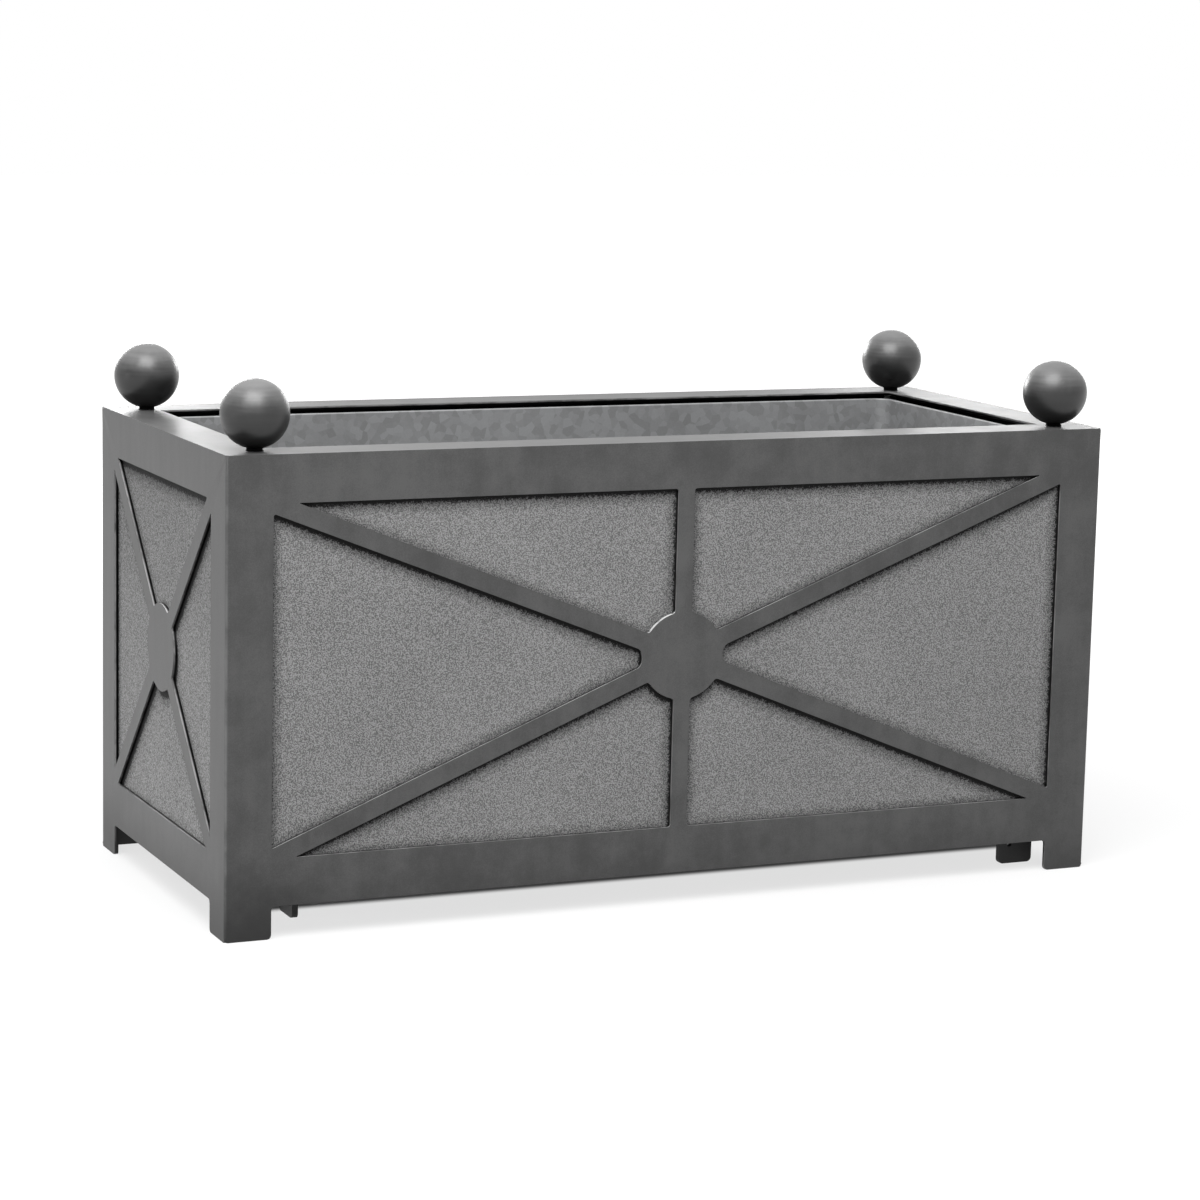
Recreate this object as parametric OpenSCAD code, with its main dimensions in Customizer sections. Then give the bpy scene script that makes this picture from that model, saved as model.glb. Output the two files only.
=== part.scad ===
// Metal planter box on four short legs: a folded frame with a strap lattice in
// front of recessed panels, ball finials on the ledge corners, and a lift-out liner.
// Origin: centre of the footprint on the floor. +X right, front face towards -Y, +Z up.

/* [Box] */
// Length of the box over its end faces
box_w = 914; // [700:1:1200]
// Depth of the box over its front and back faces
box_d = 406; // [320:1:600]
// Height from the floor to the top of the ledge
box_h = 450; // [330:1:650]
// Clear height under the bottom rails
leg_h = 31; // [22:1:80]

/* [Frame] */
// Thickness of the frame plate, and so the depth of the panels behind the frame
plate_t = 4; // [3:0.5:6]
// Visible width of the posts and rails
bar_w = 45; // [32:1:60]
// Width of the flat ledge round the top
ledge_w = 47; // [40:1:70]
// Outside radius of the folded edges
fold_r = 3; // [1:0.25:3]
// Width of the inward flange under each bottom rail
flange_w = 28; // [24:1:34]

/* [Lattice] */
// Width of a lattice strap
strap_w = 17; // [12:1:30]
// Diameter of the disc at the centre of each lattice
disc_d = 85; // [60:1:130]
// Height of a long face's disc above the middle of its opening
disc_rise = 3; // [0:0.5:20]
// Gap left for the weld between a strap and its disc
weld_gap = 0.05; // [0.02:0.01:0.2]

/* [Panels] */
// Thickness of a panel sheet
panel_t = 1.5; // [1:0.25:3]
// Clearance round the edges of a panel and of the frame's inner parts
edge_gap = 0.5; // [0.2:0.1:1]

/* [Finials] */
// Diameter of a finial ball
ball_d = 64; // [40:1:80]
// Distance from the end faces to the axis of a finial
ball_end_in = 37; // [24:1:38]
// Distance from the front and back faces to the axis of a finial
ball_side_in = 32; // [24:1:38]
// Height of the neck between the ledge and the ball
neck_h = 1.5; // [0.5:0.5:10]
// Diameter of the neck
neck_d = 15; // [12:1:20]
// Diameter of the finial stud
stud_d = 8; // [6:1:10]
// Length of the stud inside the ball
stud_grip = 22; // [12:1:30]
// Running clearance of a thread or shank, on the radius
thread_gap = 0.05; // [0.02:0.01:0.1]
// Clearance of a drilled hole round its bolt, on the radius
hole_gap = 0.4; // [0.2:0.1:1]

/* [Bearers and feet] */
// Distance from the end faces to the centre line of an end bearer
bearer_inset = 61; // [58:1:80]
// Width of a bearer channel
bearer_w = 52; // [40:1:56]
// Height of a bearer channel
bearer_h = 25; // [18:1:40]
// Wall of a bearer channel
bearer_t = 3; // [2:0.5:4]
// Width of an inner foot
foot_w = 38; // [24:1:44]
// Thickness of an inner foot
foot_t = 6; // [3:0.5:8]
// Radius of a foot's lower corners
foot_r = 5; // [1:0.5:8]
// Distance from the front and back faces to a foot that stands across its bearer
cross_foot_y = 38; // [36:1:60]
// Distance from the front and back faces to a foot that stands beside its bearer
side_foot_y = 64; // [50:1:90]
// Diameter of the hole through an inner foot
foot_hole_d = 6; // [5:0.5:9]
// Height of the hole's centre above the floor
foot_hole_z = 20; // [10:1:25]
// Distance from the foot's upright edge to the hole's centre
foot_hole_in = 12; // [8:1:18]

/* [Liner] */
// Thickness of the liner sheet
liner_t = 1.5; // [1:0.25:3]
// Clearance between the liner's rim and the edge of the ledge
liner_gap = 7; // [2:0.5:12]
// Clearance between the liner's corners and the balls that it is lifted out past
ball_pass = 2.5; // [1:0.5:6]
// Depth of the liner's rim under the top of the ledge
rim_drop = 6; // [5:0.5:30]
// Height of the turned-over hem round the liner's rim
hem_h = 10; // [5:1:20]
// Least outside radius of the liner's upright corners
liner_least_r = 8; // [4:1:20]
// Gap between the liner and the bearers that carry it
seat_gap = 0.3; // [0.1:0.1:1]
// Diameter of a drain hole
drain_d = 14; // [8:1:25]
// Drain holes of one row between one bearer and the next
drain_n = 3; // [1:1:6]
// Distance between the two rows of drain holes
drain_row = 150; // [60:1:200]

/* [Hidden] */

$fn = 64;

// The way round the box: turn about Z that brings the front to each face
FRONT = 0;
RIGHT = 90;
BACK = 180;
LEFT = 270;

half_w = box_w / 2;
half_d = box_d / 2;

// Opening of the frame on a long face and on an end face
opening_w = box_w - 2 * bar_w;
opening_d = box_d - 2 * bar_w;
opening_low = leg_h + bar_w;
opening_high = box_h - bar_w;
opening_h = opening_high - opening_low;
opening_mid = (opening_high + opening_low) / 2;

ledge_low = box_h - plate_t;
flange_top = leg_h + plate_t;

// Space behind the frame plates
inner_w = half_w - plate_t;
inner_d = half_d - plate_t;
// Space behind the panels
behind_d = inner_d - panel_t - edge_gap;

bearer_x = half_w - bearer_inset;
bearer_top = flange_top + bearer_h;
web_low = bearer_top - bearer_t;

washer_t = stud_d / 5;
washer_d = 2 * stud_d;

// A standard nut: width across flats and height for its thread
nut_w = 1.6 * stud_d;
nut_h = 0.8 * stud_d;
// Length of stud left past the nut
thread_end = 2;
stud_tail = washer_t + nut_h + thread_end;

liner_half_w = half_w - ledge_w - liner_gap;
liner_half_d = half_d - ledge_w - liner_gap;
liner_low = bearer_top + seat_gap;
liner_rim = box_h - rim_drop;
// Distances from a finial's axis to the liner's end and side walls
past_x = ledge_w + liner_gap - ball_end_in;
past_y = ledge_w + liner_gap - ball_side_in;
// The corners are as round as it takes to pass the balls, which overhang the ledge
pass_r = ball_d / 2 + ball_pass;
spare = past_x + past_y - pass_r;
passing_r = sqrt(max(0, spare ^ 2 + pass_r ^ 2 - past_x ^ 2 - past_y ^ 2)) - spare;
liner_r = max(liner_least_r, passing_r);

frame_colour = [0.33, 0.33, 0.34];
panel_colour = [0.52, 0.52, 0.53];
liner_colour = [0.45, 0.46, 0.47];
dark_colour = [0.16, 0.16, 0.17];
zinc_colour = [0.62, 0.63, 0.65];

// Placing

// Puts a shape drawn flat on a face: local x to the right, local y up, local z
// outwards from the panel to the outer surface of the frame
module on_face(turn, half)
    rotate([0, 0, turn])
        translate([0, plate_t - half, 0])
            rotate([90, 0, 0])
                children();

// Puts a shape drawn at the front left corner at another corner
module at_corner(right, back)
    mirror([right, 0, 0])
        mirror([0, back, 0])
            children();

// A box given by its lowest and highest corners
module block(low, high)
    translate(low)
        cube(high - low);

// Outer shape of the frame, with its upright and top edges rounded

module rounded_top(span) {
    translate([-span / 2, 0])
        square([span, box_h - fold_r]);
    translate([fold_r - span / 2, 0])
        square([span - 2 * fold_r, box_h]);
    for (side = [-1, 1])
        translate([side * (span / 2 - fold_r), box_h - fold_r])
            circle(fold_r);
}

module rounded_plan(width, depth, radius) {
    square([width, depth - 2 * radius], center = true);
    square([width - 2 * radius, depth], center = true);
    for (x = [-1, 1], y = [-1, 1])
        translate([x * (width / 2 - radius), y * (depth / 2 - radius)])
            circle(radius);
}

module outer_shape()
    intersection() {
        linear_extrude(box_h)
            rounded_plan(box_w, box_d, fold_r);
        rotate([90, 0, 90])
            linear_extrude(box_w, center = true)
                rounded_top(box_d);
        rotate([90, 0, 0])
            linear_extrude(box_d, center = true)
                rounded_top(box_w);
    }

// Frame

// Corner angle at the front left; its lower end is the leg
module post()
    intersection() {
        outer_shape();
        union() {
            block([-half_w, -half_d, 0], [bar_w - half_w, plate_t - half_d, opening_high]);
            block([-half_w, -half_d, 0], [plate_t - half_w, bar_w - half_d, opening_high]);
        }
    }

// Top rail of a long face: ledge and down-turned face, with the finial stud holes
module long_top_rail()
    difference() {
        intersection() {
            outer_shape();
            union() {
                block([-half_w, -half_d, opening_high], [half_w, plate_t - half_d, box_h]);
                block([-half_w, -half_d, ledge_low], [half_w, ledge_w - half_d, box_h]);
            }
        }
        for (side = [-1, 1])
            translate([side * (half_w - ball_end_in), ball_side_in - half_d, ledge_low - 1])
                cylinder(d = stud_d + 2 * hole_gap, h = plate_t + 2);
    }

// Top rail of the left end, between the two long ones
module end_top_rail()
    intersection() {
        outer_shape();
        union() {
            block([-half_w, -inner_d, opening_high], [plate_t - half_w, inner_d, ledge_low]);
            block([-half_w, ledge_w - half_d, ledge_low], [ledge_w - half_w, half_d - ledge_w, box_h]);
        }
    }

// Bottom rail of a long face: upright face between the posts, flange behind them
module long_bottom_rail() {
    block([-opening_w / 2, -half_d, leg_h], [opening_w / 2, plate_t - half_d, opening_low]);
    block([edge_gap - inner_w, -inner_d, leg_h], [inner_w - edge_gap, flange_w - half_d, flange_top]);
}

// Bottom rail of the left end
module end_bottom_rail() {
    flange_end = half_d - flange_w - edge_gap;
    block([-half_w, -opening_d / 2, leg_h], [plate_t - half_w, opening_d / 2, opening_low]);
    block([-inner_w, -flange_end, leg_h], [flange_w - half_w, flange_end, flange_top]);
}

// Panels

// A sheet behind the frame plates; it stands on the flange of its bottom rail
module panel(turn, half, width)
    color(panel_colour)
        on_face(turn, half)
            translate([-width / 2, flange_top, -panel_t])
                cube([width, ledge_low - flange_top - edge_gap, panel_t]);

// Lattice

// Puts a shape drawn round the centre of a disc on its face
module on_lattice(turn, half, rise)
    color(frame_colour)
        on_face(turn, half)
            translate([0, opening_mid + rise, 0])
                children();

// Bar from the disc towards a point on the edge of an opening of the given span; the
// point is measured from the middle of the opening, and the disc is raised above it
module strap(turn, half, span, toward, rise)
    on_lattice(turn, half, rise)
        linear_extrude(plate_t)
            difference() {
                intersection() {
                    translate([0, -rise])
                        square([span, opening_h], center = true);
                    rotate(atan2(toward.y - rise, toward.x))
                        translate([0, -strap_w / 2])
                            square([norm(toward) + strap_w + rise, strap_w]);
                }
                circle(d = disc_d + 2 * weld_gap);
            }

// The strap that runs to the left (-1), middle (0) or right (1) of the lower (-1) or
// upper (1) edge, seen from outside
module long_strap(turn, side, up)
    strap(turn, half_d, opening_w, [side * opening_w / 2, up * opening_h / 2], disc_rise);

module end_strap(turn, side, up)
    strap(turn, half_w, opening_d, [side * opening_d / 2, up * opening_h / 2], 0);

module disc(turn, half, rise)
    on_lattice(turn, half, rise)
        cylinder(d = disc_d, h = plate_t);

// Finials

module at_finial(right, back)
    at_corner(right, back)
        translate([ball_end_in - half_w, ball_side_in - half_d, box_h])
            children();

module each_finial()
    for (right = [0, 1], back = [0, 1])
        at_finial(right, back)
            children();

module finial(right, back)
    color(frame_colour)
        at_finial(right, back)
            difference() {
                union() {
                    translate([0, 0, neck_h + ball_d / 2])
                        sphere(d = ball_d);
                    cylinder(d = neck_d, h = neck_h + ball_d / 4);
                }
                translate([0, 0, -1])
                    cylinder(d = stud_d + 2 * thread_gap, h = stud_grip + 2);
            }

// Bearers and feet

// Upside-down channel from the front rail's flange to the back rail's
module bearer(x)
    color(dark_colour)
        translate([x, 0, 0])
            difference() {
                block([-bearer_w / 2, -behind_d, flange_top], [bearer_w / 2, behind_d, bearer_top]);
                block([bearer_t - bearer_w / 2, -behind_d - 1, flange_top - 1],
                      [bearer_w / 2 - bearer_t, behind_d + 1, web_low]);
            }

// Foot plate drawn upright: local x along its width, local y up, local z its thickness
module foot_plate()
    difference() {
        linear_extrude(foot_t)
            union() {
                translate([0, foot_r])
                    square([foot_w, web_low - foot_r]);
                translate([foot_r, 0])
                    square([foot_w - 2 * foot_r, web_low]);
                for (x = [foot_r, foot_w - foot_r])
                    translate([x, foot_r])
                        circle(foot_r);
            }
        translate([foot_hole_in, foot_hole_z, -1])
            cylinder(d = foot_hole_d, h = foot_t + 2);
    }

// Foot across the right bearer's front end, welded inside the channel
module cross_foot() {
    outer = bearer_x + bearer_w / 2 - bearer_t;
    translate([outer - foot_w, cross_foot_y + foot_t - half_d, 0])
        rotate([90, 0, 0])
            foot_plate();
}

// Foot beside the left bearer's front end, welded to its inner wall
module side_foot()
    translate([bearer_w / 2 - bearer_x, side_foot_y - half_d, 0])
        rotate([90, 0, 90])
            foot_plate();

// Liner

module liner_plan(inset)
    rounded_plan(2 * (liner_half_w - inset), 2 * (liner_half_d - inset), liner_r - inset);

module liner()
    color(liner_colour) {
        wall_inset = liner_t;
        inside_inset = 2 * liner_t;
        difference() {
            union() {
                translate([0, 0, liner_low])
                    linear_extrude(liner_rim - liner_low)
                        liner_plan(wall_inset);
                translate([0, 0, liner_rim - hem_h])
                    linear_extrude(hem_h)
                        liner_plan(0);
            }
            translate([0, 0, liner_low + liner_t])
                linear_extrude(liner_rim - liner_low)
                    liner_plan(inside_inset);
            // The drain holes share the stretches between the bearers evenly
            bay = bearer_x - bearer_w;
            for (i = [0:drain_n - 1], side = [-1, 1], row = [-1, 1])
                translate([side * (bearer_w / 2 + bay * (i + 0.5) / drain_n),
                           row * drain_row / 2, liner_low - 1])
                    cylinder(d = drain_d, h = liner_t + 2);
        }
    }

// Named pieces

module post_front_left() color(frame_colour) at_corner(0, 0) post();
module post_front_right() color(frame_colour) at_corner(1, 0) post();
module post_back_left() color(frame_colour) at_corner(0, 1) post();
module post_back_right() color(frame_colour) at_corner(1, 1) post();

module top_rail_front() color(frame_colour) long_top_rail();
module top_rail_back() color(frame_colour) mirror([0, 1, 0]) long_top_rail();
module top_rail_left() color(frame_colour) end_top_rail();
module top_rail_right() color(frame_colour) mirror([1, 0, 0]) end_top_rail();

module bottom_rail_front() color(frame_colour) long_bottom_rail();
module bottom_rail_back() color(frame_colour) mirror([0, 1, 0]) long_bottom_rail();
module bottom_rail_left() color(frame_colour) end_bottom_rail();
module bottom_rail_right() color(frame_colour) mirror([1, 0, 0]) end_bottom_rail();

module panel_front() panel(FRONT, half_d, 2 * (inner_w - edge_gap));
module panel_back() panel(BACK, half_d, 2 * (inner_w - edge_gap));
module panel_left() panel(LEFT, half_w, 2 * behind_d);
module panel_right() panel(RIGHT, half_w, 2 * behind_d);

module strap_front_upper_left() long_strap(FRONT, -1, 1);
module strap_front_upper_mid() long_strap(FRONT, 0, 1);
module strap_front_upper_right() long_strap(FRONT, 1, 1);
module strap_front_lower_left() long_strap(FRONT, -1, -1);
module strap_front_lower_mid() long_strap(FRONT, 0, -1);
module strap_front_lower_right() long_strap(FRONT, 1, -1);

module strap_back_upper_left() long_strap(BACK, -1, 1);
module strap_back_upper_mid() long_strap(BACK, 0, 1);
module strap_back_upper_right() long_strap(BACK, 1, 1);
module strap_back_lower_left() long_strap(BACK, -1, -1);
module strap_back_lower_mid() long_strap(BACK, 0, -1);
module strap_back_lower_right() long_strap(BACK, 1, -1);

module strap_left_upper_left() end_strap(LEFT, -1, 1);
module strap_left_upper_right() end_strap(LEFT, 1, 1);
module strap_left_lower_left() end_strap(LEFT, -1, -1);
module strap_left_lower_right() end_strap(LEFT, 1, -1);

module strap_right_upper_left() end_strap(RIGHT, -1, 1);
module strap_right_upper_right() end_strap(RIGHT, 1, 1);
module strap_right_lower_left() end_strap(RIGHT, -1, -1);
module strap_right_lower_right() end_strap(RIGHT, 1, -1);

module disc_front() disc(FRONT, half_d, disc_rise);
module disc_back() disc(BACK, half_d, disc_rise);
module disc_left() disc(LEFT, half_w, 0);
module disc_right() disc(RIGHT, half_w, 0);

module finial_front_left() finial(0, 0);
module finial_front_right() finial(1, 0);
module finial_back_left() finial(0, 1);
module finial_back_right() finial(1, 1);

module finial_studs()
    color(zinc_colour)
        each_finial()
            translate([0, 0, -plate_t - stud_tail])
                cylinder(d = stud_d, h = plate_t + stud_tail + stud_grip);

module finial_washers()
    color(zinc_colour)
        each_finial()
            translate([0, 0, -plate_t - washer_t])
                difference() {
                    cylinder(d = washer_d, h = washer_t);
                    translate([0, 0, -1])
                        cylinder(d = stud_d + 2 * hole_gap, h = washer_t + 2);
                }

module finial_nuts()
    color(zinc_colour)
        each_finial()
            translate([0, 0, -plate_t - washer_t - nut_h])
                difference() {
                    cylinder(d = nut_w / cos(30), h = nut_h, $fn = 6);
                    translate([0, 0, -1])
                        cylinder(d = stud_d + 2 * thread_gap, h = nut_h + 2);
                }

module bearer_left() bearer(-bearer_x);
module bearer_middle() bearer(0);
module bearer_right() bearer(bearer_x);

module foot_front_right() color(dark_colour) cross_foot();
module foot_back_left() color(dark_colour) rotate([0, 0, 180]) cross_foot();
module foot_front_left() color(dark_colour) side_foot();
module foot_back_right() color(dark_colour) rotate([0, 0, 180]) side_foot();

post_front_left();
post_front_right();
post_back_left();
post_back_right();
top_rail_front();
top_rail_back();
top_rail_left();
top_rail_right();
bottom_rail_front();
bottom_rail_back();
bottom_rail_left();
bottom_rail_right();
panel_front();
panel_back();
panel_left();
panel_right();
strap_front_upper_left();
strap_front_upper_mid();
strap_front_upper_right();
strap_front_lower_left();
strap_front_lower_mid();
strap_front_lower_right();
strap_back_upper_left();
strap_back_upper_mid();
strap_back_upper_right();
strap_back_lower_left();
strap_back_lower_mid();
strap_back_lower_right();
strap_left_upper_left();
strap_left_upper_right();
strap_left_lower_left();
strap_left_lower_right();
strap_right_upper_left();
strap_right_upper_right();
strap_right_lower_left();
strap_right_lower_right();
disc_front();
disc_back();
disc_left();
disc_right();
finial_front_left();
finial_front_right();
finial_back_left();
finial_back_right();
finial_studs();
finial_washers();
finial_nuts();
bearer_left();
bearer_middle();
bearer_right();
foot_front_left();
foot_front_right();
foot_back_left();
foot_back_right();
liner();
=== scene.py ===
"""Looks of the metal planter box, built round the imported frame. All lengths are metres."""
import math

import bmesh
import bpy
from mathutils import Matrix, Vector


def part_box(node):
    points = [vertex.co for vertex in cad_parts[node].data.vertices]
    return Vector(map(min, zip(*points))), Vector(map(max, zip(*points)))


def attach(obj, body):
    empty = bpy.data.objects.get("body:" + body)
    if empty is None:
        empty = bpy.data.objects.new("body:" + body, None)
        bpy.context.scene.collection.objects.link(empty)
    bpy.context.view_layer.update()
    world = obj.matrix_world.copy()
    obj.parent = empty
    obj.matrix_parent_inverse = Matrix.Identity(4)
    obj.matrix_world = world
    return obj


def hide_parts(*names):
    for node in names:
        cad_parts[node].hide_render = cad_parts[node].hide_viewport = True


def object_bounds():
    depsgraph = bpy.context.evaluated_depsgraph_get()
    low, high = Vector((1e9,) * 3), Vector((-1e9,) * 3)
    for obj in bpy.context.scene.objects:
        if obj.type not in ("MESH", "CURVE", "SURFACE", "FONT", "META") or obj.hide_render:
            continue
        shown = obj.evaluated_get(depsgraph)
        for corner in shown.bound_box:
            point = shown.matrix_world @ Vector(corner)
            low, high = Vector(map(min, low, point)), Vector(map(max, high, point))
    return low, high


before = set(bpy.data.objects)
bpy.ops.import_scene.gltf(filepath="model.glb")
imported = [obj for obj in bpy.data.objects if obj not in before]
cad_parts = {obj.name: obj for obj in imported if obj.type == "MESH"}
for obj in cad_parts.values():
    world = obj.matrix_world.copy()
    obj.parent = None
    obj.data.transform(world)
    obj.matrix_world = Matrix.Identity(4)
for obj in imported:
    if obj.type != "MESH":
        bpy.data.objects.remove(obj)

cad_low, cad_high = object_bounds()
MM = 0.001

FACES = ("front", "right", "back", "left")
LONG_FACES = ("front", "back")
FINIALS = tuple("finial_%s_%s" % (depth, side) for depth in ("front", "back")
                for side in ("left", "right"))


def size_of(node):
    """Width, depth and height of a CAD node."""
    low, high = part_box(node)
    return high - low


# Sizes of the frame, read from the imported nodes
HALF_W, HALF_D = cad_high.x, cad_high.y
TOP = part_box("top_rail_front")[1].z
LEG_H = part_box("bottom_rail_front")[0].z
OPENING_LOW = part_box("bottom_rail_front")[1].z
OPENING_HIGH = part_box("post_front_left")[1].z
BAR = size_of("post_front_left").x
LEDGE = size_of("top_rail_front").y
PLATE = size_of("disc_front").y
DISC_R = size_of("disc_front").x / 2
STRAP = size_of("strap_front_upper_mid").x

# Roundings of the frame: bends, cut edges, corners of the openings and inner corners of the legs
FOLD_R = 3 * MM
CUT_R = 1.1 * MM
FLANGE_CUT_R = 0.8 * MM
CORNER_R = 2.5 * MM
LEG_CORNER_R = 4 * MM
# Fillets between a strap and its disc: in a wide window, and in the narrow ones beside the discs
WIDE_FILLET = 3 * MM
NARROW_FILLET = 6 * MM
RIM_STEP = 4 * MM
STUD_HOLE_R = 4.4 * MM

# The liner's sheet, the hem folded out at its rim, the bends and the drain holes
LINER_SHEET = 1.5 * MM
LINER_HEM = 10 * MM
LINER_BEND = 3 * MM
LINER_CORNER_R = 16.4 * MM
HEM_CUT = 0.4 * MM
DRAIN_R = 7 * MM

# Points nearer to each other than this are one point
TOUCH = 0.01 * MM


# Mesh helpers

def grow(bm, part, matrix):
    """Adds a finished part to a mesh, moved by the matrix."""
    mesh = bpy.data.meshes.new("part")
    part.to_mesh(mesh)
    part.free()
    mesh.transform(matrix)
    bm.from_mesh(mesh)
    bpy.data.meshes.remove(mesh)


def as_piece(name, bm, materials, body="box", replaces=()):
    """Makes the mesh a piece of the object with its materials and body, and hides the CAD nodes it
    replaces.
    """
    for face in bm.faces:
        face.smooth = True
    mesh = bpy.data.meshes.new(name)
    bm.to_mesh(mesh)
    bm.free()
    for material in materials:
        mesh.materials.append(material)
    piece = bpy.data.objects.new(name, mesh)
    bpy.context.scene.collection.objects.link(piece)
    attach(piece, body)
    if replaces:
        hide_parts(*replaces)
    return piece


def keep_flats_flat(piece):
    """Lets the large flat faces set the shading where they meet a rounded edge."""
    weighted = piece.modifiers.new("flat shading", "WEIGHTED_NORMAL")
    weighted.mode = "FACE_AREA"
    weighted.weight = 100
    weighted.keep_sharp = True


def outline(bm, points, *roundings, segments=3):
    """Draws a closed outline in the XY plane. A rounding is a radius and the numbers of its corners."""
    verts = [bm.verts.new((x, y, 0)) for x, y in points]
    bm.faces.new(verts)
    for radius, corners in roundings:
        bmesh.ops.bevel(bm, geom=[verts[i] for i in corners], offset=radius, segments=segments,
                        profile=0.5, affect="VERTICES", material=-1)


def fill_between(bm):
    """Fills the outer outline and leaves the outlines inside it open."""
    bmesh.ops.delete(bm, geom=bm.faces[:], context="FACES_ONLY")
    bmesh.ops.triangle_fill(bm, edges=bm.edges[:], use_beauty=True, normal=(0, 0, 1))


def round_edges(bm, edges, radius, segments):
    """Rounds some edges of a solid part."""
    bmesh.ops.bevel(bm, geom=edges, offset=radius, offset_type="OFFSET", segments=segments,
                    profile=0.5, affect="EDGES", clamp_overlap=True, material=-1)


def slab(bm, low, high, radius):
    """Adds a plate between two corners, with softened edges."""
    part = bmesh.new()
    place = Matrix.Translation((low + high) / 2) @ Matrix.Diagonal((*(high - low), 1))
    bmesh.ops.create_cube(part, size=1, matrix=place)
    round_edges(part, part.edges[:], radius, 2)
    grow(bm, part, Matrix.Identity(4))


# The lattice frame: four faces and the ledge, cut and folded from plate

def opening(face, half):
    """Height of a face's disc, and the low and high corners of the opening seen from its centre."""
    low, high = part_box("disc_" + face)
    centre = (low.z + high.z) / 2
    reach = half - BAR
    return centre, Vector((-reach, OPENING_LOW - centre)), Vector((reach, OPENING_HIGH - centre))


def spoke_end(direction, side, low, high):
    """Where one side of a strap meets the edge of the opening."""
    offset = Vector((-direction.y, direction.x)) * side * STRAP / 2
    runs = [((far if along > 0 else near) - off) / along
            for near, far, along, off in zip(low, high, direction, offset) if abs(along) > 1e-6]
    return direction * min(runs) + offset


def rim_arc(start, end, room):
    """Points on a disc's rim between two straps. Each end leaves room for a fillet."""
    margin = room / DISC_R
    steps = max(1, round(((start - end) * DISC_R - 2 * room) / RIM_STEP))
    turn = end - start + 2 * margin
    angles = [start] + [start - margin + turn * i / steps for i in range(steps + 1)] + [end]
    return [(DISC_R * math.cos(a), DISC_R * math.sin(a)) for a in angles]


def window(bm, first, second, centre, low, high):
    """One opening of the lattice, between two neighbouring straps, outside the disc."""
    lean = math.asin(STRAP / 2 / DISC_R)
    start = math.atan2(second.y, second.x) - lean
    end = math.atan2(first.y, first.x) + lean
    if start < end:
        start += 2 * math.pi
    narrow = (start - end) * DISC_R < 4 * NARROW_FILLET
    fillet = NARROW_FILLET if narrow else WIDE_FILLET
    corners = [spoke_end(first, 1, low, high), spoke_end(second, -1, low, high)]
    points = [(p.x, p.y + centre) for p in corners]
    points += [(x, y + centre) for x, y in rim_arc(start, end, 1.1 * fillet)]
    outline(bm, points, (CORNER_R, (0, 1)), (fillet, (2, len(points) - 1)))


def face_sheet(face, half):
    """Outer surface of one face, flat in XY: posts, rails, lattice and legs."""
    bm = bmesh.new()
    foot = half - BAR
    outline(bm, [(-half, 0), (-foot, 0), (-foot, LEG_H), (foot, LEG_H), (foot, 0), (half, 0),
                 (half, TOP), (-half, TOP)], (LEG_CORNER_R, (1, 2, 3, 4)))
    centre, low, high = opening(face, half)
    ends = [(high.x, low.y), (high.x, high.y), (0, high.y), (low.x, high.y), (low.x, low.y), (0, low.y)]
    spokes = [Vector(end).normalized() for end in ends if end[0] or face in LONG_FACES]
    for first, second in zip(spokes, spokes[1:] + spokes[:1]):
        window(bm, first, second, centre, low, high)
    fill_between(bm)
    return bm


def finial_axes():
    """Where the axes of the four finials stand, at height zero."""
    axes = []
    for name in FINIALS:
        low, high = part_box(name)
        axes.append(Vector(((low.x + high.x) / 2, (low.y + high.y) / 2, 0)))
    return axes


def ledge_sheet():
    """Top surface of the ledge, with the holes that the finial studs pass."""
    bm = bmesh.new()
    for inset in (0, LEDGE):
        x, y = HALF_W - inset, HALF_D - inset
        outline(bm, [(-x, -y), (x, -y), (x, y), (-x, y)])
    for centre in finial_axes():
        bmesh.ops.create_circle(bm, segments=16, radius=STUD_HOLE_R,
                                matrix=Matrix.Translation(centre))
    fill_between(bm)
    return bm


def outer_planes(co):
    """Whether a point lies on the plane of an end, of a long face and of the ledge."""
    return [abs(abs(at) - plane) < TOUCH for at, plane in zip(co, (HALF_W, HALF_D, TOP))]


def thicken(bm):
    """Gives the sheet the plate's thickness: copied points move in from every outer plane they are on."""
    made = bmesh.ops.extrude_face_region(bm, geom=bm.faces[:])["geom"]
    for vert in (v for v in made if isinstance(v, bmesh.types.BMVert)):
        for axis, touches in enumerate(outer_planes(vert.co)):
            if touches:
                vert.co[axis] -= math.copysign(PLATE, vert.co[axis])
    bmesh.ops.recalc_face_normals(bm, faces=bm.faces[:])


def depth_in(co):
    """How far a point of the frame lies outside the plate's inner surface."""
    return max(abs(co.x) - HALF_W, abs(co.y) - HALF_D, co.z - TOP) + PLATE


def sharp_outside(bm):
    """Sharp edges of the outer surface, where the plate is folded or cut."""
    return [e for e in bm.edges
            if len(e.link_faces) == 2 and e.calc_face_angle() > 1
            and min(depth_in(v.co) for v in e.verts) > PLATE / 4]


def soften_plate(bm):
    """Rounds the folds, where two outer planes meet, and then the cut edges."""
    folds = []
    for edge in sharp_outside(bm):
        first, second = (outer_planes(v.co) for v in edge.verts)
        if sum(a and b for a, b in zip(first, second)) == 2:
            folds.append(edge)
    round_edges(bm, folds, FOLD_R, 4)
    round_edges(bm, sharp_outside(bm), CUT_R, 3)


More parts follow.
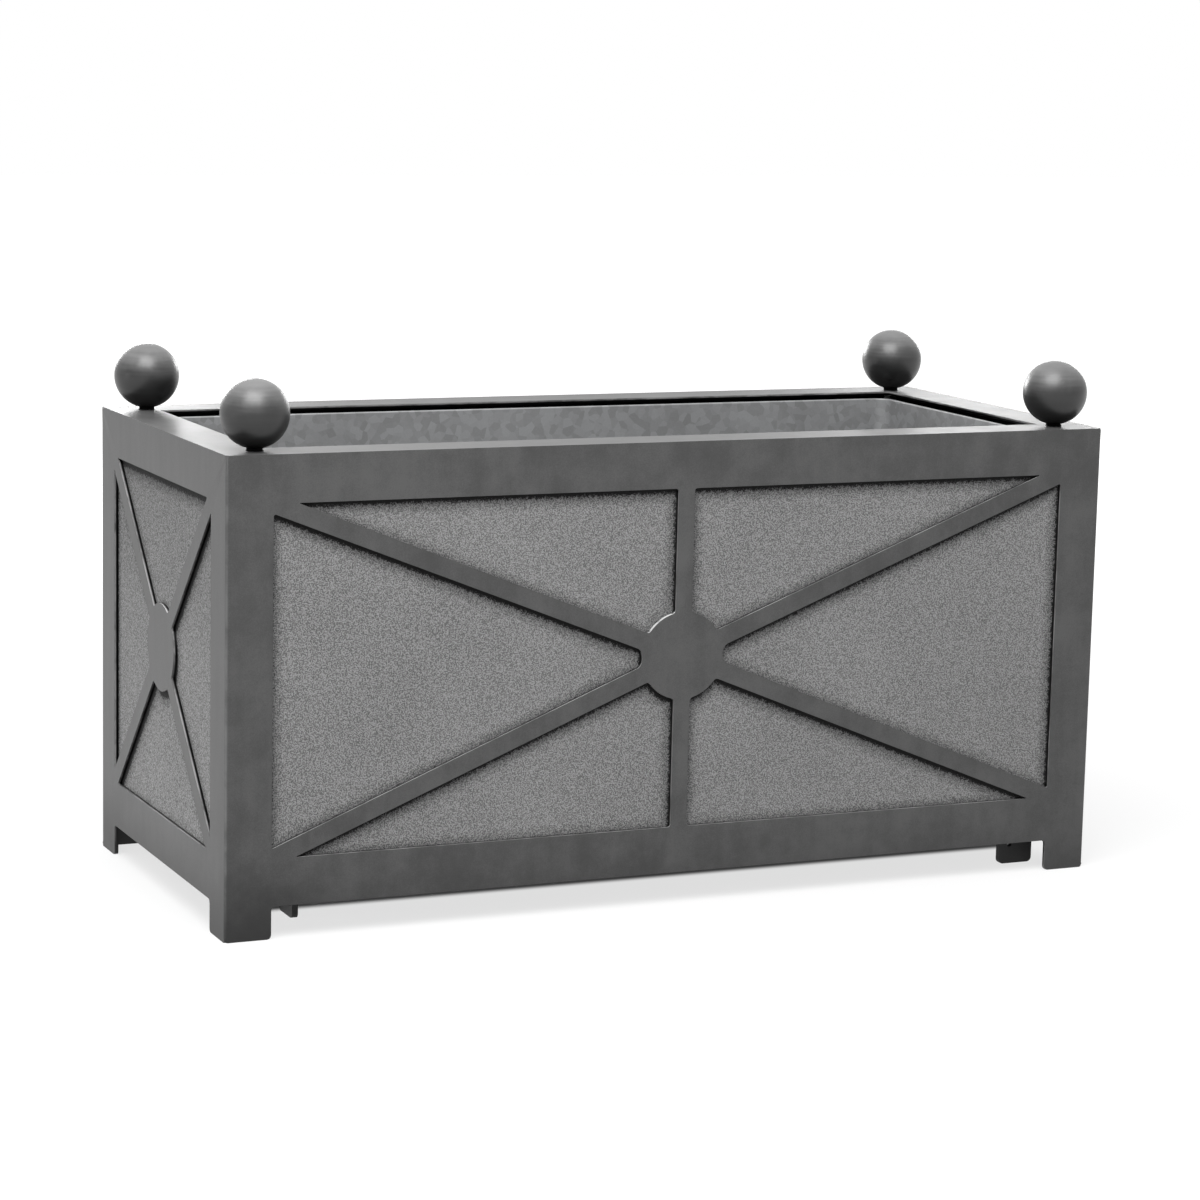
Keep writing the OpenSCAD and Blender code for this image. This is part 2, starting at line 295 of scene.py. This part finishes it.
def lattice_frame():
    """Posts, rails, straps, discs and ledge as one plate that turns the corners."""
    bm = bmesh.new()
    upright = Matrix.Rotation(math.pi / 2, 4, "X")
    for turn, face in enumerate(FACES):
        half, out = (HALF_W, HALF_D) if face in LONG_FACES else (HALF_D, HALF_W)
        place = Matrix.Rotation(turn * math.pi / 2, 4, "Z") @ Matrix.Translation((0, -out, 0)) @ upright
        grow(bm, face_sheet(face, half), place)
    grow(bm, ledge_sheet(), Matrix.Translation((0, 0, TOP)))
    bmesh.ops.remove_doubles(bm, verts=bm.verts[:], dist=TOUCH)
    thicken(bm)
    soften_plate(bm)
    return bm


def rail_flanges():
    """The inward flanges under the bottom rails, welded behind the faces."""
    bm = bmesh.new()
    for face in FACES:
        low, high = (corner.copy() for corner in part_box("bottom_rail_" + face))
        across = 1 if face in LONG_FACES else 0
        if face in ("front", "left"):
            low[across] += PLATE
        else:
            high[across] -= PLATE
        high.z = low.z + PLATE
        slab(bm, low, high, FLANGE_CUT_R)
    return bm


# Finials

def turned_ball(axis, ball_r, low, neck_r=7.5 * MM, collar=0.6 * MM, rings=40, sides=72):
    """A ball on a short neck, turned about an upright axis. The neck takes the second material."""
    bm = bmesh.new()
    centre = Vector((0, 0, cad_high.z - ball_r))
    sweep = math.pi - math.asin(neck_r / ball_r)
    pole = bm.verts.new((0, 0, cad_high.z))
    last = bmesh.ops.spin(bm, geom=[pole], cent=centre, axis=(0, 1, 0), angle=sweep, steps=rings,
                          use_merge=False)["geom_last"]
    tip = [g for g in last if isinstance(g, bmesh.types.BMVert)]
    for radius, z in ((neck_r, low + collar), (neck_r + collar, low), (0, low)):
        tip = bmesh.ops.extrude_vert_indiv(bm, verts=tip)["verts"]
        tip[0].co = (radius, 0, z)
    bmesh.ops.spin(bm, geom=bm.verts[:] + bm.edges[:], cent=(0, 0, 0), axis=(0, 0, 1),
                   angle=2 * math.pi, steps=sides, use_merge=True)
    bmesh.ops.remove_doubles(bm, verts=bm.verts[:], dist=TOUCH)
    bmesh.ops.recalc_face_normals(bm, faces=bm.faces[:])
    neck_top = centre.z - math.sqrt(ball_r ** 2 - neck_r ** 2) + 0.1 * MM
    for face in bm.faces:
        face.material_index = 1 if max(v.co.z for v in face.verts) < neck_top else 0
    bmesh.ops.translate(bm, verts=bm.verts[:], vec=axis)
    return bm


# Liner

def rounded_ring(bm, inset, z):
    """A loop of edges round the liner, set in from its rim and raised to a height."""
    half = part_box("liner")[1] - Vector((inset, inset, 0))
    before = set(bm.edges)
    part = bmesh.new()
    outline(part, [(sx * half.x, sy * half.y) for sx, sy in ((-1, -1), (1, -1), (1, 1), (-1, 1))],
            (LINER_CORNER_R - inset, range(4)), segments=6)
    bmesh.ops.delete(part, geom=part.faces[:], context="FACES_ONLY")
    grow(bm, part, Matrix.Translation((0, 0, z)))
    return [e for e in bm.edges if e not in before]


def floor_bend(inset, z, steps=3):
    """Insets and heights down the bend from the upright wall to the flat floor."""
    turns = (math.pi / 2 * i / steps for i in range(steps + 1))
    return [(inset + LINER_BEND * (1 - math.cos(a)), z + LINER_BEND * (1 - math.sin(a))) for a in turns]


def liner_profile(low, high, steps=8):
    """Insets and heights of the liner's rings: up outside, over the rounded rim and down inside."""
    hem_end = high - LINER_HEM
    outside = floor_bend(LINER_SHEET, low)[::-1]
    hem = [(LINER_SHEET, hem_end + HEM_CUT), (HEM_CUT, hem_end), (0, hem_end + HEM_CUT)]
    turns = (math.pi * i / steps for i in range(steps + 1))
    rim = [(LINER_SHEET * (1 - math.cos(a)), high - LINER_SHEET * (1 - math.sin(a))) for a in turns]
    inside = floor_bend(2 * LINER_SHEET, low + LINER_SHEET)
    return outside + hem + rim + inside


def drain_centres(per_bay=3, row=75 * MM):
    """Drain holes in two rows, clear of the bearers."""
    bearer_half = size_of("bearer_middle").x / 2
    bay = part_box("bearer_right")[0].x - bearer_half
    return [Vector((side * (bearer_half + bay * (i + 0.5) / per_bay), end * row, 0))
            for i in range(per_bay) for side in (-1, 1) for end in (-1, 1)]


def drained_floor(bm, ring, z):
    """Fills a ring of the liner's floor, and returns the rims of the drain holes that stay open."""
    holes = []
    for centre in drain_centres():
        before = set(bm.edges)
        bmesh.ops.create_circle(bm, segments=24, radius=DRAIN_R,
                                matrix=Matrix.Translation(centre + Vector((0, 0, z))))
        holes.append([e for e in bm.edges if e not in before])
    bmesh.ops.triangle_fill(bm, edges=ring + [e for hole in holes for e in hole],
                            use_beauty=True, normal=(0, 0, 1))
    return holes


def liner_trough():
    """Folded trough with a hem round the rim and drain holes in the floor."""
    low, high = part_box("liner")
    bm = bmesh.new()
    rings = [rounded_ring(bm, inset, z) for inset, z in liner_profile(low.z, high.z)]
    for first, second in zip(rings, rings[1:]):
        bmesh.ops.bridge_loops(bm, edges=first + second)
    under = drained_floor(bm, rings[0], low.z)
    over = drained_floor(bm, rings[-1], low.z + LINER_SHEET)
    for first, second in zip(under, over):
        bmesh.ops.bridge_loops(bm, edges=first + second)
    bmesh.ops.recalc_face_normals(bm, faces=bm.faces[:])
    return bm


# Shaders

class Value:
    """A socket whose arithmetic adds the Math nodes."""

    def __init__(self, shader, socket):
        self.shader = shader
        self.socket = socket

    def maths(self, operation, first, second):
        node = self.shader.node("ShaderNodeMath", {"operation": operation}, {0: first, 1: second})
        return Value(self.shader, node.outputs[0])

    def __add__(self, other):
        return self.maths("ADD", self, other)

    def __sub__(self, other):
        return self.maths("SUBTRACT", self, other)

    def __rsub__(self, other):
        return self.maths("SUBTRACT", other, self)

    def __mul__(self, other):
        return self.maths("MULTIPLY", self, other)

    def __abs__(self):
        return self.maths("ABSOLUTE", self, 0.0)

    def __pow__(self, power):
        return self.maths("POWER", self, power)

    def least(self, other):
        return self.maths("MINIMUM", self, other)

    def most(self, other):
        return self.maths("MAXIMUM", self, other)

    __radd__ = __add__
    __rmul__ = __mul__


class Shader:
    """One node tree, for a material or the world."""

    def __init__(self, owner):
        owner.use_nodes = True
        self.owner = owner
        self.tree = owner.node_tree
        self.tree.nodes.clear()

    def node(self, kind, settings=None, inputs=None):
        """Adds any node: its settings first, then the values or links of its sockets."""
        node = self.tree.nodes.new(kind)
        for key, value in (settings or {}).items():
            if key == "stops":
                ramp = node.color_ramp.elements
                while len(ramp) < len(value):
                    ramp.new(0.5)
                for element, (position, level) in zip(ramp, value):
                    element.position = position
                    element.color = (level, level, level, 1)
            else:
                setattr(node, key, value)
        for key, value in (inputs or {}).items():
            if isinstance(value, Value):
                self.tree.links.new(value.socket, node.inputs[key])
            else:
                node.inputs[key].default_value = value
        return node

    def out(self, node, name=0):
        return Value(self, node.outputs[name])

    def place(self):
        """Where a point lies on the object."""
        return self.out(self.node("ShaderNodeTexCoord"), "Object")

    def axes(self):
        """The place as separate values of x, y and z."""
        apart = self.node("ShaderNodeSeparateXYZ", None, {0: self.place()})
        return [self.out(apart, axis) for axis in "XYZ"]

    def stretched(self, x, y, z):
        """Places scaled along each axis, for streaks."""
        return self.out(self.node("ShaderNodeVectorMath", {"operation": "MULTIPLY"},
                                  {0: self.place(), 1: (x, y, z)}))

    def noise(self, scale, detail=2.0, roughness=0.5, at=None):
        """Soft random patches; the scale is how many there are in a metre."""
        node = self.node("ShaderNodeTexNoise", None, {
            "Vector": at or self.place(), "Scale": scale, "Detail": detail, "Roughness": roughness})
        return self.out(node)

    def ramp(self, value, *stops):
        return self.out(self.node("ShaderNodeValToRGB", {"stops": stops}, {0: value}))

    def blend(self, factor, first, second):
        """Colour between two colours, through the Mix node's colour sockets."""
        node = self.node("ShaderNodeMix", {"data_type": "RGBA"}, {0: factor, 6: first, 7: second})
        return self.out(node, 2)

    def spread(self, value, first, last, low, high):
        """Goes smoothly from low to high while the value goes from first to last."""
        node = self.node("ShaderNodeMapRange", {"interpolation_type": "SMOOTHSTEP"}, {
            "Value": value, "From Min": first, "From Max": last, "To Min": low, "To Max": high})
        return self.out(node)

    def bump(self, height, distance, strength=1.0, over=None):
        """Relief from a height, on top of another relief if one is given."""
        inputs = {"Height": height, "Distance": distance, "Strength": strength}
        if over:
            inputs["Normal"] = over
        return self.out(self.node("ShaderNodeBump", None, inputs))

    def surface(self, **inputs):
        """Finishes with the Principled shader. Its sockets are named in small letters."""
        names = {key.replace("_", " ").title(): value for key, value in inputs.items()}
        names = {key.replace("Ior", "IOR"): value for key, value in names.items()}
        self.finish(self.out(self.node("ShaderNodeBsdfPrincipled", None, names)))

    def finish(self, surface):
        """Links the last shader to the output of the material or the world."""
        in_world = isinstance(self.owner, bpy.types.World)
        output = "ShaderNodeOutputWorld" if in_world else "ShaderNodeOutputMaterial"
        self.node(output, None, {"Surface": surface})


def new_material(name):
    """An empty material, ready for its nodes."""
    return Shader(bpy.data.materials.new(name))


def grey(level, tint=(1.0, 1.0, 1.0)):
    """A grey, slightly warmer or cooler with a tint."""
    return (*(level * t for t in tint), 1)


# Paint of the frame

def satin_paint(level=0.08):
    """Hand finished dark grey paint: cloudy and faintly streaked; folds and cut edges are lighter, partly
    from wear and partly as a painted highlight, and painted shade and painted rim highlights are added.
    """
    shader = new_material("satin frame paint")
    patches = shader.noise(32, 4, 0.6)
    streaks = shader.noise(55, 3, 0.6, at=shader.stretched(1, 1, 0.12))
    grain = shader.noise(900, 2)
    tone = shader.noise(6, 3) * 0.25 + patches * 0.35 + streaks * 0.17 + grain * 0.23
    tone = shader.spread(tone, 0.36, 0.64, 0.0, 1.0)
    colour = shader.blend(tone, grey(level * 0.74), grey(level * 1.26))
    colour = wear_and_painted_light(shader, colour, patches, level)
    peel = shader.bump(shader.noise(420, 2) * 0.6 + grain * 0.4, 0.05 * MM, 0.35)
    shader.surface(base_color=colour, roughness=0.44 + (patches - 0.5) * 0.16, specular_ior_level=0.32,
                   normal=peel)
    return shader.owner


def wear_and_painted_light(shader, colour, patches, level, low_shade_grey=0.02, wall_shade_black=0.006, ground=0.6):
    """The paint's wear and painted light: folds and cut edges lighter, partly from wear and partly as a
    painted highlight; painted shade on the legs towards the floor; painted shade making the inner cut walls
    black; painted highlights on the disc rims.
    """
    x, y, z = shader.axes()
    side, end, top = HALF_W - abs(x), HALF_D - abs(y), TOP - z
    depth = side.least(end).least(top)
    next_plane = side.least(end).most(side.most(end).least(top))
    on_fold = shader.spread(next_plane, 1.2 * FOLD_R, 1.5 * FOLD_R, 1.0, 0.0)
    # Painted highlight and wear: folds and cut edges are painted lighter, partly from wear and partly as a
    # highlight on the rounded edges.
    rubbed_and_highlit = shader.spread(depth, 0.05 * MM, 0.4 * MM, 0.0, 1.0)
    rubbed_and_highlit = rubbed_and_highlit * shader.spread(patches, 0.35, 0.6, 0.3, 1.0)
    # Painted shade: the cut walls deeper in the plate are painted near black, where shade falls in the
    # recesses.
    in_shade = shader.spread(depth, 1.3 * MM, 2.3 * MM, 0.0, 1.0)
    # Painted shade: the outer faces get darker towards the floor, most at the left end.
    painted_low_shade = shader.spread(z + patches * 40 * MM, 20 * MM, 100 * MM, 1.0, 0.0)
    painted_low_shade = painted_low_shade * shader.spread(x, BAR - HALF_W, 3 * BAR - HALF_W, 0.95, 0.45)
    colour = shader.blend(rubbed_and_highlit, colour, shader.blend(on_fold, grey(level * 4.5), grey(level * 1.6)))
    colour = shader.blend(painted_low_shade, colour, grey(low_shade_grey))
    colour = shader.blend(in_shade, colour, grey(wall_shade_black))
    # Painted highlight: the upper rims of the discs are painted bright.
    return shader.blend(painted_rim_highlights(shader, x, y, z, depth), colour, grey(ground))


def painted_rim_highlights(shader, x, y, z, depth):
    """Painted highlight on a disc's rim: left of the top on the long faces, a hairline on the ends."""
    def rim(along, face):
        up = z - opening(face, HALF_W)[0]
        off = abs((abs(along) ** 2 + abs(up) ** 2) ** 0.5 - DISC_R)
        upper = shader.spread(up, 0.0, 4 * MM, 0.0, 1.0)
        return shader.spread(off, 0.9 * MM, 1.6 * MM, 1.0, 0.0) * upper

    left = shader.spread(x * y, 0.0, STRAP / 2 * HALF_D, 0.0, 1.0)
    hairline = shader.spread(depth, 1.0 * MM, 1.5 * MM, 1.0, 0.0)
    near_top = shader.spread(abs(y), 0.55 * DISC_R, 0.65 * DISC_R, 1.0, 0.0)
    bright = (rim(x, "front") * left).most(rim(y, "left") * hairline * near_top)
    return bright * shader.spread(depth, 0.1 * MM, 0.5 * MM, 0.0, 0.9)


# Paint of the finials

def ball_paint(level=0.03):
    """Glossier paint of the balls, with painted light: a painted highlight making the top lighter and
    painted shade making the underside nearly black, with faint turning rings.
    """
    shader = new_material("satin finial paint")
    patches = shader.noise(45, 4, 0.6)
    rings = shader.noise(330, 2, at=shader.stretched(0.06, 0.06, 1))
    height = shader.axes()[2] + (patches - 0.5) * 10 * MM + (rings - 0.5) * 6 * MM
    half = size_of(FINIALS[0]).z / 2
    middle = cad_high.z - half
    # Painted light in the base colour: painted shade underneath, nearly black, and a painted highlight on
    # top.
    dark = shader.spread(height, middle - 0.9 * half, middle + 0.1 * half, level * 0.1, level * 0.45)
    painted_top_light = shader.spread(height, middle, middle + 0.95 * half, 0.0, level * 3.9)
    tone = (dark + painted_top_light) * (0.55 + patches * 0.35 + rings * 0.55)
    colour = shader.blend(tone, grey(0.0), grey(1.0))
    peel = shader.bump(rings * 0.7 + patches * 0.3, 0.1 * MM, 0.5)
    shader.surface(base_color=colour, roughness=0.38 + (patches - 0.5) * 0.16 + (rings - 0.5) * 0.16,
                   specular_ior_level=0.6, normal=peel)
    return shader.owner


def painted_neck_shade():
    """Dull black painted on the necks as the shade under the balls."""
    shader = new_material("dull neck black")
    neck_mottle = shader.noise(300, 3)
    # Painted shade: the neck is painted near black as the shade under the ball.
    colour = shader.blend(neck_mottle, grey(0.002), grey(0.01))
    shader.surface(base_color=colour, roughness=0.85 + (neck_mottle - 0.5) * 0.2, specular_ior_level=0.1,
                   normal=shader.bump(neck_mottle, 0.1 * MM, 0.5))
    return shader.owner


# Blasted sheet of the panels

def to_frame(along, up, low, high, uprights):
    """How far a point of a panel lies from the lattice in front of it, seen from the disc's centre."""
    along = abs(along)
    nearest = ((along ** 2 + abs(up) ** 2) ** 0.5 - DISC_R).least(high.x - along)
    nearest = nearest.least(high.y - up).least(up - low.y)
    for end in (high.y, low.y):
        lean = Vector((high.x, end)).normalized()
        nearest = nearest.least(abs(up * lean.x - along * lean.y) - STRAP / 2)
    return nearest.least(along - STRAP / 2) if uprights else nearest


def blasted_sheet(name, face, half, shadow_drop, shadow_aside=0.8 * MM, ragged=12 * MM):
    """Granular grey sheet, with a painted shadow in black under the straps and rails, as far as the lattice
    is shifted down.
    """
    shader = new_material(name)
    x, y, z = shader.axes()
    fine = shader.noise(820, 1)
    coarse = shader.noise(300, 2)
    grains = shader.ramp(fine * 0.85 + coarse * 0.15, (0.41, 0.0), (0.59, 1.0))
    tone = grains * 0.8 + shader.noise(9, 2) * 0.2
    colour = shader.blend(tone, grey(0.105), grey(0.365))

    centre, low, high = opening(face, half)
    along = x if face in LONG_FACES else y
    # Painted shadow: the lattice's outline is shifted down and to one side, and the panel is painted black
    # close under it, with a softer dark haze further out.
    under = to_frame(along + shadow_aside, z + (shadow_drop - centre), low, high, uprights=face in LONG_FACES)
    under = under + (fine * 0.5 + coarse * 0.5 - 0.5) * ragged
    painted_shadow_core = shader.spread(under, -0.4 * MM, 5 * MM, 1.0, 0.0)
    painted_shadow_haze = shader.spread(under, 0.0, 15 * MM, 0.45, 0.0)
    colour = shader.blend(painted_shadow_core.most(painted_shadow_haze), colour, grey(0.004))
    rough = shader.bump(fine * 0.8 + coarse * 0.2, 0.8 * MM, 0.8)
    shader.surface(base_color=colour, roughness=0.78 + (coarse - 0.5) * 0.2, specular_ior_level=0.25,
                   normal=rough)
    return shader.owner


# Zinc and primer

def dull_galvanised():
    """Weathered zinc of the liner: faint crystal spangles over a dull grey."""
    shader = new_material("dull galvanised")
    spangle = shader.out(shader.node("ShaderNodeTexVoronoi", {"feature": "F1"}, {
        "Vector": shader.place(), "Scale": 130.0}), "Color")
    crystals = shader.ramp(spangle, (0.2, 0.0), (0.8, 1.0))
    stain = shader.noise(12, 4)
    grain = shader.noise(500, 2)
    colour = shader.blend(crystals * 0.35 + stain * 0.4 + grain * 0.25,
                          grey(0.16), grey(0.34, (0.98, 1.0, 1.02)))
    waves = shader.bump(shader.noise(5, 1), 3 * MM, 0.3)
    dents = shader.bump(grain, 0.1 * MM, 0.4, over=waves)
    shader.surface(base_color=colour, metallic=0.35, roughness=0.5 + (stain - 0.5) * 0.25, normal=dents)
    return shader.owner


def mill_black():
    """Rough black primer of the bearers and feet."""
    shader = new_material("black primer")
    patches = shader.noise(35, 4)
    grain = shader.noise(700, 2)
    colour = shader.blend(patches * 0.7 + grain * 0.3, grey(0.012), grey(0.048))
    shader.surface(base_color=colour, roughness=0.62 + (patches - 0.5) * 0.3,
                   normal=shader.bump(grain, 0.15 * MM, 0.5))
    return shader.owner


def zinc_plate():
    """Bright zinc of the studs, washers and nuts, slightly clouded."""
    shader = new_material("zinc plate")
    cloud = shader.noise(180, 3)
    colour = shader.blend(cloud, grey(0.45), grey(0.68, (1.0, 0.99, 0.96)))
    shader.surface(base_color=colour, metallic=1.0, roughness=0.3 + (cloud - 0.5) * 0.25,
                   normal=shader.bump(shader.noise(1500, 1), 0.02 * MM, 0.4))
    return shader.owner


# The object's pieces

def build_frame():
    """The painted lattice frame, and the flanges welded behind it."""
    paint = satin_paint()
    plate_nodes = [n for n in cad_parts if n.startswith(("post_", "top_rail_", "strap_", "disc_"))]
    keep_flats_flat(as_piece("lattice_frame", lattice_frame(), (paint,),
                             replaces=sorted(plate_nodes)))
    keep_flats_flat(as_piece("rail_flanges", rail_flanges(), (paint,),
                             replaces=["bottom_rail_" + face for face in FACES]))


def build_balls():
    """The four ball finials with their necks."""
    finish = (ball_paint(), painted_neck_shade())
    for name, axis in zip(FINIALS, finial_axes()):
        ball = turned_ball(axis, size_of(name).x / 2, TOP)
        as_piece(name.replace("finial", "ball"), ball, finish, replaces=[name])


def build_liner():
    """The trough that lifts out."""
    keep_flats_flat(as_piece("liner_trough", liner_trough(), (dull_galvanised(),), body="lift_out_liner",
                             replaces=["liner"]))


def dress_nodes():
    """Gives the CAD nodes that stay their finer materials."""
    long_sheet = blasted_sheet("blasted sheet of the long faces", "front", HALF_W, shadow_drop=3.2 * MM)
    end_sheet = blasted_sheet("blasted sheet of the ends", "left", HALF_D, shadow_drop=6 * MM)
    zinc, black = zinc_plate(), mill_black()
    finishes = {("panel_front", "panel_back"): long_sheet, ("panel_left", "panel_right"): end_sheet,
                ("finial_studs", "finial_washers", "finial_nuts"): zinc, ("bearer_", "foot_"): black}
    for starts, material in finishes.items():
        for node in (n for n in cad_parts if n.startswith(starts)):
            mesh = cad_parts[node].data
            mesh.materials.clear()
            mesh.materials.append(material)


# Floor, light and camera

def seen(shader):
    """1 for rays that show the background: to the camera, in gloss and through glass."""
    path = shader.node("ShaderNodeLightPath")
    rays = [shader.out(path, name) for name in ("Is Camera Ray", "Is Glossy Ray", "Is Transmission Ray")]
    return rays[0].most(rays[1]).most(rays[2])


def painted_floor_shade(shader):
    """Painted shade on the floor: 1 under the middle of the box, where the glow is taken away as if no
    light gets in, and 0 outside it.
    """
    x, y, _ = shader.axes()
    gap = shader.spread(abs(y), 94 * MM, 112 * MM, 0.95, 0.0)
    return gap * shader.spread(abs(x - 20 * MM), 424 * MM, 437 * MM, 1.0, 0.0)


def floor(size=14.0):
    """Pale floor that shows nearly white and keeps the object's shadow."""
    bm = bmesh.new()
    bmesh.ops.create_grid(bm, x_segments=1, y_segments=1, size=size)
    mesh = bpy.data.meshes.new("floor")
    bm.to_mesh(mesh)
    bm.free()
    ground = bpy.data.objects.new("floor", mesh)
    bpy.context.scene.collection.objects.link(ground)
    shader = new_material("pale floor")
    from_middle = shader.out(shader.node("ShaderNodeVectorMath", {"operation": "LENGTH"},
                                         {0: shader.place()}), "Value")
    whiteness = shader.spread(from_middle, 0.7, 2.4, 0.72, 1.0)
    glow_level = seen(shader) * whiteness * (1 - painted_floor_shade(shader))
    white = shader.out(shader.node("ShaderNodeBsdfDiffuse", None, {"Color": grey(0.2)}))
    glow = shader.out(shader.node("ShaderNodeEmission", None, {"Color": grey(1.0), "Strength": glow_level}))
    shader.finish(shader.out(shader.node("ShaderNodeAddShader", None, {0: white, 1: glow})))
    mesh.materials.append(shader.owner)


def surroundings(horizon=0.06, zenith=1.3):
    """White to look at. As a light it is a soft dome, brightest overhead."""
    world = bpy.data.worlds.new("studio")
    bpy.context.scene.world = world
    shader = Shader(world)
    direction = shader.out(shader.node("ShaderNodeTexCoord"), "Generated")
    up = shader.out(shader.node("ShaderNodeSeparateXYZ", None, {0: direction}), "Z")
    visible = seen(shader)
    level = visible + shader.spread(up, 0.1, 0.9, horizon, zenith) * (1 - visible)
    shader.finish(shader.out(shader.node("ShaderNodeBackground", None, {
        "Color": grey(1.0), "Strength": level})))


def softbox(name, place, target, width, height, power, spread=180):
    """A rectangular lamp that points at a target; a honeycomb may narrow its spread, in degrees."""
    data = bpy.data.lights.new(name, "AREA")
    data.shape = "RECTANGLE"
    data.size, data.size_y, data.energy = width, height, power
    data.spread = math.radians(spread)
    lamp = bpy.data.objects.new(name, data)
    bpy.context.scene.collection.objects.link(lamp)
    lamp.location = place
    lamp.rotation_euler = (Vector(target) - Vector(place)).to_track_quat("-Z", "Y").to_euler()
    lamp.visible_camera = False


def studio():
    """One large soft key overhead, two strips from behind, and a little light along the floor."""
    middle = (0, 0, 0.3)
    left_leg = (-HALF_W, 0, 0.08)
    softbox("overhead key", (-0.85, -1.3, 2.6), middle, width=2.2, height=1.8, power=98)
    softbox("back strip left", (-0.1, 3.2, 0.95), middle, width=1.4, height=0.8, power=40)
    softbox("back strip right", (2.7, 3.0, 0.95), middle, width=1.5, height=0.8, power=25)
    softbox("low side light", (-2.6, 0.1, 0.3), left_leg, width=1.6, height=0.3, power=0.8, spread=20)


def camera():
    """Stands front left of the box, a little above it, and leans as the photograph does."""
    pan, tilt, roll = (math.radians(a) for a in (24.0029, 9.4761, 1.2749))
    data = bpy.data.cameras.new("camera")
    data.sensor_width = 36
    data.lens = 104.861
    view = bpy.data.objects.new("camera", data)
    bpy.context.scene.collection.objects.link(view)
    view.matrix_world = (Matrix.Translation((-1.41208, -3.17642, 0.84507)) @ Matrix.Rotation(-pan, 4, "Z")
                         @ Matrix.Rotation(math.pi / 2 - tilt, 4, "X") @ Matrix.Rotation(roll, 4, "Z"))
    bpy.context.scene.camera = view


build_frame()
build_balls()
build_liner()
dress_nodes()
floor()
surroundings()
studio()
camera()
bpy.context.scene.view_settings.view_transform = "Standard"
